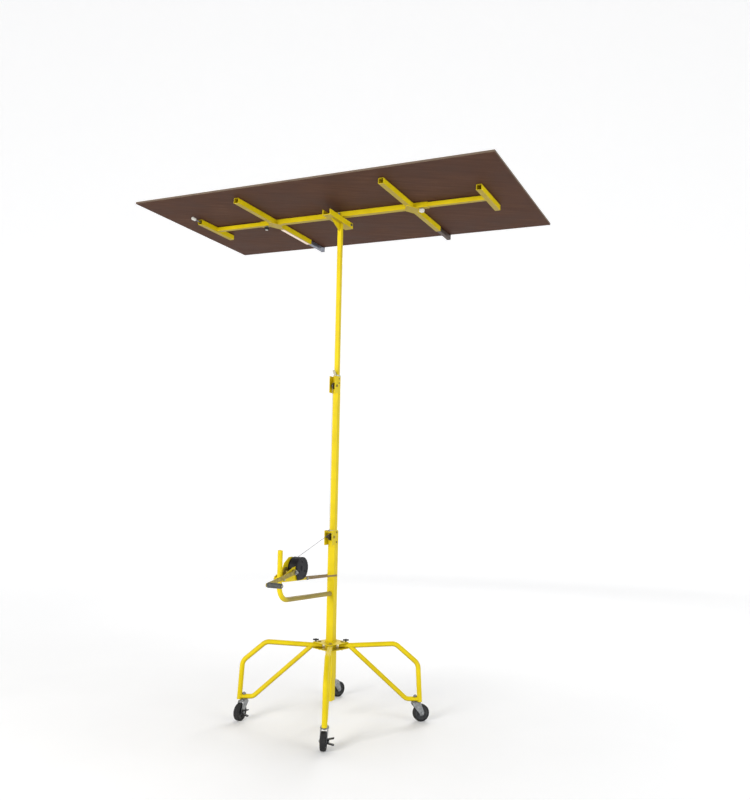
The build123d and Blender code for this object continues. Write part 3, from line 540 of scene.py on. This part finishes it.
# ------------------------------------------------------------------- welds
RAIL_START, RAIL_BEND = Vector((115, 0, 442)), Vector((396, 0, 457))
RAIL_KNEE, RAIL_FOOT = (536, 340), (548.9, 100)
BRACE_FOOT, BRACE_HEAD = Vector((466, 0, 132)), Vector((112, 0, 442))
BRACE_DIR = (BRACE_HEAD - BRACE_FOOT).normalized()
for side in CASTERS:
    at = leg_frame(side)
    leg_body = FOLDING.get(side, "base")
    # Where the brace meets the underside of the rail.
    normal = Vector((-BRACE_DIR.z, 0, BRACE_DIR.x))
    rail_dir = (RAIL_BEND - RAIL_START).normalized()
    loop = []
    for k in range(48):
        a = 2 * math.pi * k / 48
        start = BRACE_FOOT + (normal * math.cos(a) + Vector((0, 1, 0)) * math.sin(a)) * BRACE_R
        w = start - RAIL_START
        dp = BRACE_DIR - rail_dir * BRACE_DIR.dot(rail_dir)
        wp = w - rail_dir * w.dot(rail_dir)
        qa, qb, qc = dp.dot(dp), 2 * dp.dot(wp), wp.dot(wp) - RAIL_R ** 2
        t = (-qb - math.sqrt(max(qb * qb - 4 * qa * qc, 0))) / (2 * qa)
        loop.append(start + BRACE_DIR * t)
    weld(f"{side}_leg_brace_weld", loop, leg_body, at, 2.4, closed=True)
    # Where the foot tube meets the rail's lower end.
    loop = []
    for k in range(48):
        a = 2 * math.pi * k / 48
        y, z = BRACE_R * math.sin(a), BRACE_FOOT.z + BRACE_R * math.cos(a)
        down = (RAIL_KNEE[1] - z) / (RAIL_KNEE[1] - RAIL_FOOT[1])
        centre = RAIL_KNEE[0] + (RAIL_FOOT[0] - RAIL_KNEE[0]) * down
        loop.append(Vector((centre - math.sqrt(RAIL_R ** 2 - y * y), y, z)))
    weld(f"{side}_leg_foot_weld", loop, leg_body, at, 2.2, closed=True)

for z, tag in ((461.6, "upper_top"), (457.2, "upper_under"), (426.8, "lower_top"), (422.4, "lower_under")):
    weld(f"hub_weld_{tag}", square(27.6, z), "base", UNIT, 2.0, closed=True)
weld("hub_socket_weld", square(25, 470), "base", UNIT, 1.7, closed=True)
ring = [(14.6 * math.sin(2 * math.pi * k / 40), -24.3, 753.9 + 14.6 * math.cos(2 * math.pi * k / 40))
        for k in range(40)]
weld("winch_arm_weld", ring, "base", UNIT, 2.2, closed=True)
for s in (1, -1):
    weld(f"winch_bar_weld_{'a' if s > 0 else 'b'}",
         [(s * 24.8, -23, 869.4), (s * 24.8, 9, 868.0)], "base", UNIT, 2.0)
    weld(f"winch_bar_low_weld_{'a' if s > 0 else 'b'}",
         [(s * 24.8, -23, 857.4), (s * 24.8, 9, 856.3)], "base", UNIT, 2.0)
weld("head_gusset_weld_a", [(2.4, -14.8, 3060), (2.4, -14.8, 3108.4), (2.4, -126, 3109.4)], "top_mast", UNIT,
     1.6)
weld("head_gusset_weld_b", [(-2.4, -14.8, 3060), (-2.4, -14.8, 3108.4), (-2.4, -126, 3109.4)], "top_mast",
     UNIT, 1.6)
weld("head_mast_weld", square(14.3, 3109.3), "top_mast", UNIT, 1.7, closed=True)
for s, side in ((1, "right"), (-1, "left")):
    for q, tag in ((1, "far"), (-1, "near")):
        x = s * CROSSARM_X
        weld(f"{side}_crossarm_{tag}_weld", [(x - 16.4, q * 17.6, -1.6), (x - 17.4, q * 17.6, -17),
                                             (x - 16.6, q * 17.6, -33.4)], "cradle", CRADLE, 1.5)
        weld(f"{side}_crossarm_{tag}_weld_b", [(x + 16.4, q * 17.6, -1.6), (x + 17.4, q * 17.6, -17),
                                               (x + 16.6, q * 17.6, -33.4)], "cradle", CRADLE, 1.5)
        weld(f"{side}_gusset_{tag}_weld", [(x - 17.2, q * 22, -34.9), (x - 17.2, q * 52, -34.9)], "cradle",
             CRADLE, 1.5)
        weld(f"{side}_gusset_{tag}_weld_b", [(x + 17.2, q * 22, -34.9), (x + 17.2, q * 52, -34.9)], "cradle",
             CRADLE, 1.5)
    e = 986.4
    weld(f"{side}_t_bar_weld", [(s * e, -14.4, -3.4), (s * e, 14.4, -3.4), (s * e, 14.4, -31.2),
                                (s * e, -14.4, -31.2)], f"{side}_extension", CRADLE, 1.5, closed=True)

# ------------------------------------------------------------ mast details
PLUG_Z = 118.2
prism("base_tube_plug", square(21.4), PLUG_Z - 2.6, PLUG_Z + 12, BLACK_PLASTIC, "base", UNIT, 1.2)

# Collar lips round the mouths of the outer tubes are softened by thin seams.
for half, z, body, tag in ((24.05, 1130.1, "base", "base"), (18.05, 2105.1, "middle_mast", "middle")):
    weld(f"{tag}_collar_seam", square(half, z), body, UNIT, 0.5, closed=True, mat=NYLON)

# Washers under the pulley fasteners.
for out, sheave, zs, body, tag, r in ((27.3, LOWER_SHEAVE, (1126, 1066), "base", "lower", 6.9),
                                      (20.8, UPPER_SHEAVE, (2088, 2060), "middle_mast", "upper", 5.8)):
    for s in (1, -1):
        for n, (y, z, rad, h) in enumerate([(*sheave, 5.6, 5.0)]
                                           + [(-8, q, r * 0.62, 3.6) for q in zs]):
            at = axis_at(UNIT, (0, y, z), (s, 0, 0))
            lathe(f"{tag}_bolt_crown_{n}_{'a' if s > 0 else 'b'}",
                  [(rad, out + h - 0.3), (rad * 0.92, out + h + 0.5), (rad * 0.55, out + h + 0.8),
                   (0, out + h + 0.85)], PASSIVATED, body, at, seg=32)
            lathe(f"{tag}_washer_{n}_{'a' if s > 0 else 'b'}",
                  [(rad * 0.8, out - 0.02), (rad * 1.62, out), (rad * 1.66, out + 0.5),
                   (rad * 1.6, out + 0.9), (rad * 0.8, out + 0.95), (rad * 0.8, out - 0.02)],
                  PASSIVATED, body, at, seg=40)

# ------------------------------------------------------------------- winch
lathe("handle_cap", [(12.4, 1030), (12.4, 1046), (14.1, 1046.4), (14.3, 1048), (13.8, 1050), (11.6, 1051.6),
                     (6, 1052.6), (0, 1052.8)], YELLOW, "base", UNIT @ Matrix.Translation((0, -0.6, 0)))
for n in range(5):
    lathe(f"handle_band_{n}", [(14.0, 0), (14.35, 0.3), (14.35, 1.5), (14.0, 1.8)], YELLOW, "base",
          UNIT @ Matrix.Translation((0, -0.6, (1012 + 5 * n) * MM)), seg=48)

# Pressed ring and three screws on the face of the drum cover.
drum_at = axis_at(UNIT, (0, DRUM_Y, DRUM_Z), (1, 0, 0))
lathe("drum_cover_ring", [(50, 35.9), (51.6, 36.9), (53.4, 37.3), (55.2, 36.9), (56.8, 35.9), (50, 35.9)],
      BLACK, "base", drum_at, seg=96)
lathe("drum_cover_boss", [(16, 35.9), (15, 37.6), (11, 38.4), (0, 38.5)], BLACK, "base", drum_at, seg=64)
for n in range(3):
    a = math.radians(90 + 120 * n)
    screw_at = axis_at(UNIT, (0, DRUM_Y + 36 * math.cos(a), DRUM_Z + 36 * math.sin(a)), (1, 0, 0))
    lathe(f"drum_cover_screw_{n}", [(5.2, 35.9), (5.0, 37.2), (3.6, 38.4), (1.4, 38.9), (0, 38.9)], BLACK,
          "base", screw_at, seg=32)
# Layers of cable on the drum.
COIL_R, COIL_START, COIL_WIDTH, TURNS = 54.1, -17.0, 33.6, 11
coil = []
for k in range(TURNS * 40 + 1):
    a = 2 * math.pi * k / 40
    coil.append((COIL_START + COIL_WIDTH * k / (TURNS * 40), DRUM_Y + COIL_R * math.cos(a),
                 DRUM_Z + COIL_R * math.sin(a)))
rope("drum_windings", coil, LIFT_CABLE_R, UNIT, "drum", step=4.0)
lathe("drum_gear_lip", [(56, -23.4), (59.7, -23.4), (60.1, -22.8), (60.1, -20.2), (59.7, -19.4), (56, -19.1)],
      BLACK, "drum", drum_at, seg=96)
hub_at = axis_at(UNIT, (0, CRANK_Y, CRANK_Z), (1, 0, 0))
lathe("crank_hub_collar", [(15.2, 29.2), (16.6, 29.8), (16.6, 38.6), (15.2, 39.4)], PASSIVATED, "crank",
      hub_at)
lathe("crank_hub_nut_washer", [(8, 48.8), (12.4, 48.9), (12.8, 49.6), (12.4, 50.4), (8, 50.6)], ZINC, "crank",
      hub_at)
hexagon = [(8.6 * math.cos(math.pi * k / 3), 8.6 * math.sin(math.pi * k / 3)) for k in range(6)]
prism("crank_hub_nut", hexagon, 50.2, 57.2, ZINC, "crank", hub_at, 0.9)
lathe("crank_hub_thread", [(4.9, 57), (4.9, 60.2), (4.2, 61), (0, 61)], ZINC, "crank", hub_at, seg=32)
for tag, y, z in (("front", -600, 894), ("back", -350, 876)):
    for s in (1, -1):
        at = axis_at(UNIT, (0, y, z), (s, 0, 0))
        prism(f"tie_nut_{tag}_{'a' if s > 0 else 'b'}", hexagon, 28.1, 34.4, ZINC, "base", at, 0.8)
# Ratchet pawl on the left plate and its spring pin.
pawl = [(-478, 985), (-462, 988), (-440, 972), (-430, 976), (-434, 964), (-446, 958), (-470, 972)]
prism("ratchet_pawl", pawl, -33.4, -28.5, ZINC, "base", side_frame(0), 0.7)
lathe("pawl_pin", [(4, -36), (5.6, -36.4), (5.6, -33.6), (4, -33.2), (4, -28.2)], ZINC, "base",
      axis_at(UNIT, (0, -470, 981), (1, 0, 0)), seg=32)

grip_at = axis_at(UNIT, (0, GRIP_Y, GRIP_Z), (1, 0, 0))
profile = [(5.2, 46.6), (11.2, 46.6), (12.6, 47.6), (13.4, 49.5)]
for k in range(12):
    x = 52 + 6.4 * k
    profile += [(13.9, x), (13.9, x + 3.6), (13.0, x + 4.4), (13.0, x + 5.6)]
profile += [(13.6, 130), (12.8, 132.6), (11, 134.2), (5.2, 134.4), (5.2, 46.6)]
handle = lathe("crank_grip_sleeve", profile, GRIP, "crank_handle", grip_at, seg=64)
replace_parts(handle, "crank_grip")
lathe("crank_grip_end_cap", [(8, 137.6), (7.4, 139), (5, 139.9), (0, 140)], ZINC, "crank", grip_at, seg=40)

# ------------------------------------------------------------------ cables
# Radius at which the rope leaves the drum.
wrap = 55.8
across, rise = LOWER_SHEAVE[0] - DRUM_Y, LOWER_SHEAVE[1] - DRUM_Z
lean = math.atan2(rise, across) + math.acos((wrap - SHEAVE_PITCH) / math.hypot(across, rise))


def over_sheave(sheave, start, steps):
    """Path over a sheave in the unit's Y and Z, from an angle down to its mast side."""
    y, z = sheave
    angles = [start * (1 - k / steps) for k in range(steps + 1)]
    return [(0, y + SHEAVE_PITCH * math.cos(a), z + SHEAVE_PITCH * math.sin(a)) for a in angles]


run = [(0, DRUM_Y + wrap * math.cos(lean), DRUM_Z + wrap * math.sin(lean))]
run += over_sheave(LOWER_SHEAVE, lean, 30)
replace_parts(rope("lift_rope", run, LIFT_CABLE_R, UNIT, "base"), "lift_cable_run")
arc = over_sheave(UPPER_SHEAVE, math.pi, 36)
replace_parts(rope("upper_rope_wrap", arc, UPPER_CABLE_R, UNIT, "middle_mast", pitch=8), "upper_cable_wrap")


def straight_rope(name, y, low, high, radius, node, body, steps):
    """Upright stretch of rope between two heights."""
    pts = [Vector((0, y, high + (low - high) * k / steps)) * MM for k in range(steps + 1)]

    def section(i, s, a):
        return radius * MM * (0.9 + 0.1 * abs(math.cos(3 * a + 0.9 * i)))
    verts, faces = sweep_data(pts, 18, section)
    obj = mesh_piece(name, verts, faces, ROPE, body, UNIT, smooth=70)
    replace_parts(obj, node)
    return obj, UNIT @ pts[0], UNIT @ pts[-1]


# Three upright stretches of rope. On the lift two pay out as the mast comes down and the outer one shortens;
# here they are fixed meshes.
drop, top, foot = straight_rope("lift_rope_drop", LOWER_SHEAVE[0] + SHEAVE_PITCH, 1000, LOWER_SHEAVE[1],
                                LIFT_CABLE_R, "lift_cable_drop", None, 40)
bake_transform(drop)
drop, top, foot = straight_rope("upper_rope_drop", UPPER_SHEAVE[0] + SHEAVE_PITCH, 1975, UPPER_SHEAVE[1],
                                UPPER_CABLE_R, "upper_cable_drop", None, 30)
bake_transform(drop)
OUTER_Y = UPPER_SHEAVE[0] - SHEAVE_PITCH
outer, top, foot = straight_rope("upper_rope_run", OUTER_Y, BASE_TOP, UPPER_SHEAVE[1], UPPER_CABLE_R,
                                 "upper_cable_run", "base", 260)
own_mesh(outer)
FERRULE = [(1.0, 1130.1), (3.0, 1130.2), (3.3, 1131), (3.3, 1143), (2.9, 1144.4), (1.2, 1144.8)]
lathe("upper_rope_ferrule", FERRULE, ZINC, "base", UNIT @ Matrix.Translation((0, OUTER_Y * MM, 0)), seg=24)

# ------------------------------------------------------------------ cradle
def crossarm_frame(s):
    """Frame along a crossarm, whose X and Y are the cradle's X and Z."""
    return CRADLE @ Matrix(((1, 0, 0, s * CROSSARM_X * MM), (0, 0, 1, 0), (0, 1, 0, 0), (0, 0, 0, 1)))


for s, side in ((1, "right"), (-1, "left")):
    # Thin dark pad at the end of each hook bar.
    loop = [(-15.2, -33.2), (15.2, -33.2), (15.2, 15.4), (-15.2, 15.4)]
    at = crossarm_frame(s)
    knob_at = CRADLE @ Matrix.Translation((s * KNOB_X * MM, 0, 0))
    prism(f"{side}_hook_tip_pad", loop, 649.1, 651.0, BLACK_PLASTIC, f"{side}_hook", at, 0.8)
    lathe(f"{side}_knob_hub", [(9.5, -59.6), (11, -58.6), (11.4, -57), (9.5, -56.6)],
          PALE if side == "right" else BLACK_PLASTIC, f"{side}_beam_clamp", knob_at, seg=40)
    lathe(f"{side}_knob_button", [(0, -60.2), (8, -60), (9.6, -59.4), (9.6, -57), (0, -57)], PALE,
          f"{side}_beam_clamp", knob_at, seg=40)
    lathe(f"{side}_knob_nut", [(4.1, -36.2), (8.4, -36.2), (8.8, -35.6), (8.8, -34.9), (8.4, -34.4),
                               (4.1, -34.4), (4.1, -36.2)], ZINC, "cradle", knob_at, seg=6,
          smooth=20)
# Pale end stop on a thin rod in the near end of the left T-bar.
rod_at = axis_at(CRADLE, (-T_BAR_X, -182, BEAM_Z), (0, -1, 0))
lathe("left_t_bar_rod", [(0, -60), (4, -60), (4, 58), (0, 58)], DARK_ZINC, "left_extension", rod_at, seg=32)
lathe("left_t_bar_rod_cap", [(4, 52), (9.5, 52.4), (10.5, 54), (10.5, 80), (9, 83), (5, 84.6), (0, 85)], PALE,
      "left_extension", rod_at, seg=40)
# Pale strip along the lower corner of the left crossarm: a painted highlight where light catches that corner.
highlight_strip = [(-17.6, -34.6), (-17.6, -20), (-17.15, -20), (-17.15, -34.45), (8, -34.45), (8, -34.9),
        (-17.6, -34.9)]
prism("left_crossarm_painted_highlight", highlight_strip, 96, 446, PAINTED_HIGHLIGHT, "cradle", crossarm_frame(-1), 0)

# ------------------------------------------------------------------- stage
floor_mat = surface("studio_floor", (0.80, 0.80, 0.80), (0.82, 0.82, 0.82), (0.84, 0.84, 0.84), (0.85, 0.95),
                    patch=0.6, grain=60, bump_mm=0.2, bump_strength=0.05)
bpy.ops.mesh.primitive_plane_add(size=160, location=(0, 0, 0))
floor = bpy.context.object
floor.name = "floor"
floor.data.materials.append(floor_mat)
floor_nodes = floor_mat.node_tree
# The floor glows, faint near the object and brighter further out: painted light on the floor.
floor_nodes.nodes["Principled BSDF"].inputs["Emission Color"].default_value = (1, 1, 1, 1)
place = floor_nodes.nodes.new("ShaderNodeNewGeometry")
reach = floor_nodes.nodes.new("ShaderNodeVectorMath")
reach.operation = "LENGTH"
floor_nodes.links.new(place.outputs["Position"], reach.inputs[0])
floor_nodes.links.new(remap(floor_nodes, reach.outputs["Value"], 0.5, 9, 0.07, 0.50),
                      floor_nodes.nodes["Principled BSDF"].inputs["Emission Strength"])
# A wide lit cloth far behind the object, as in a photo studio.
bpy.ops.mesh.primitive_plane_add(size=1, location=(0, 24, 0), rotation=(math.radians(90), 0, 0))
cloth = bpy.context.object
cloth.name = "backdrop"
cloth.scale = (160, 80, 1)
cloth_mat = surface("backdrop_cloth", (0.80, 0.80, 0.80), (0.81, 0.81, 0.81), (0.82, 0.82, 0.82), (0.9, 0.95),
                    patch=0.2, grain=8, bump_mm=0.2, bump_strength=0.05)
cloth_mat.node_tree.nodes["Principled BSDF"].inputs["Emission Color"].default_value = (1, 1, 1, 1)
cloth_mat.node_tree.nodes["Principled BSDF"].inputs["Emission Strength"].default_value = 0.45
cloth.data.materials.append(cloth_mat)

world = bpy.context.scene.world or bpy.data.worlds.new("World")
bpy.context.scene.world = world
world.use_nodes = True
world.node_tree.nodes["Background"].inputs["Color"].default_value = (0.98, 0.985, 1.0, 1)
world.node_tree.nodes["Background"].inputs["Strength"].default_value = 0.42


def area(name, where, aim, size, power, colour=(1, 1, 1)):
    light = bpy.data.lights.new(name, "AREA")
    light.shape = "RECTANGLE"
    light.size, light.size_y = size
    light.energy = power
    light.color = colour
    obj = bpy.data.objects.new(name, light)
    bpy.context.scene.collection.objects.link(obj)
    obj.location = where
    obj.rotation_euler = (Vector(aim) - Vector(where)).to_track_quat("-Z", "Y").to_euler()
    return obj


area("key", (-4.2, -5.2, 3.2), (0, 0, 1.6), (2.6, 2.6), 300, (1.0, 0.98, 0.95))
area("fill", (5.0, -3.5, 2.2), (0, 0, 1.8), (3.0, 3.0), 110, (0.95, 0.98, 1.0))
area("rim", (1.5, 5.0, 4.5), (0, 0, 2.0), (3.0, 2.0), 160)

# ------------------------------------------------------------------ camera
yaw, pitch, roll = math.radians(0.333), math.radians(6.56), math.radians(1.00)
forward = Vector((math.sin(yaw) * math.cos(pitch), math.cos(yaw) * math.cos(pitch), math.sin(pitch)))
right = Vector((math.cos(yaw), -math.sin(yaw), 0))
up = right.cross(forward)
right_r = right * math.cos(roll) + up * math.sin(roll)
up_r = up * math.cos(roll) - right * math.sin(roll)
cam_data = bpy.data.cameras.new("camera")
cam_data.sensor_width = 36
cam_data.lens = 34.884
camera = bpy.data.objects.new("camera", cam_data)
bpy.context.scene.collection.objects.link(camera)
m = Matrix.Identity(4)
for i in range(3):
    m[i][0], m[i][1], m[i][2] = right_r[i], up_r[i], -forward[i]
m.translation = Vector((0.2164, -4.8942, 1.3958))
camera.matrix_world = m
bpy.context.scene.camera = camera
bpy.context.scene.view_settings.view_transform = "Standard"
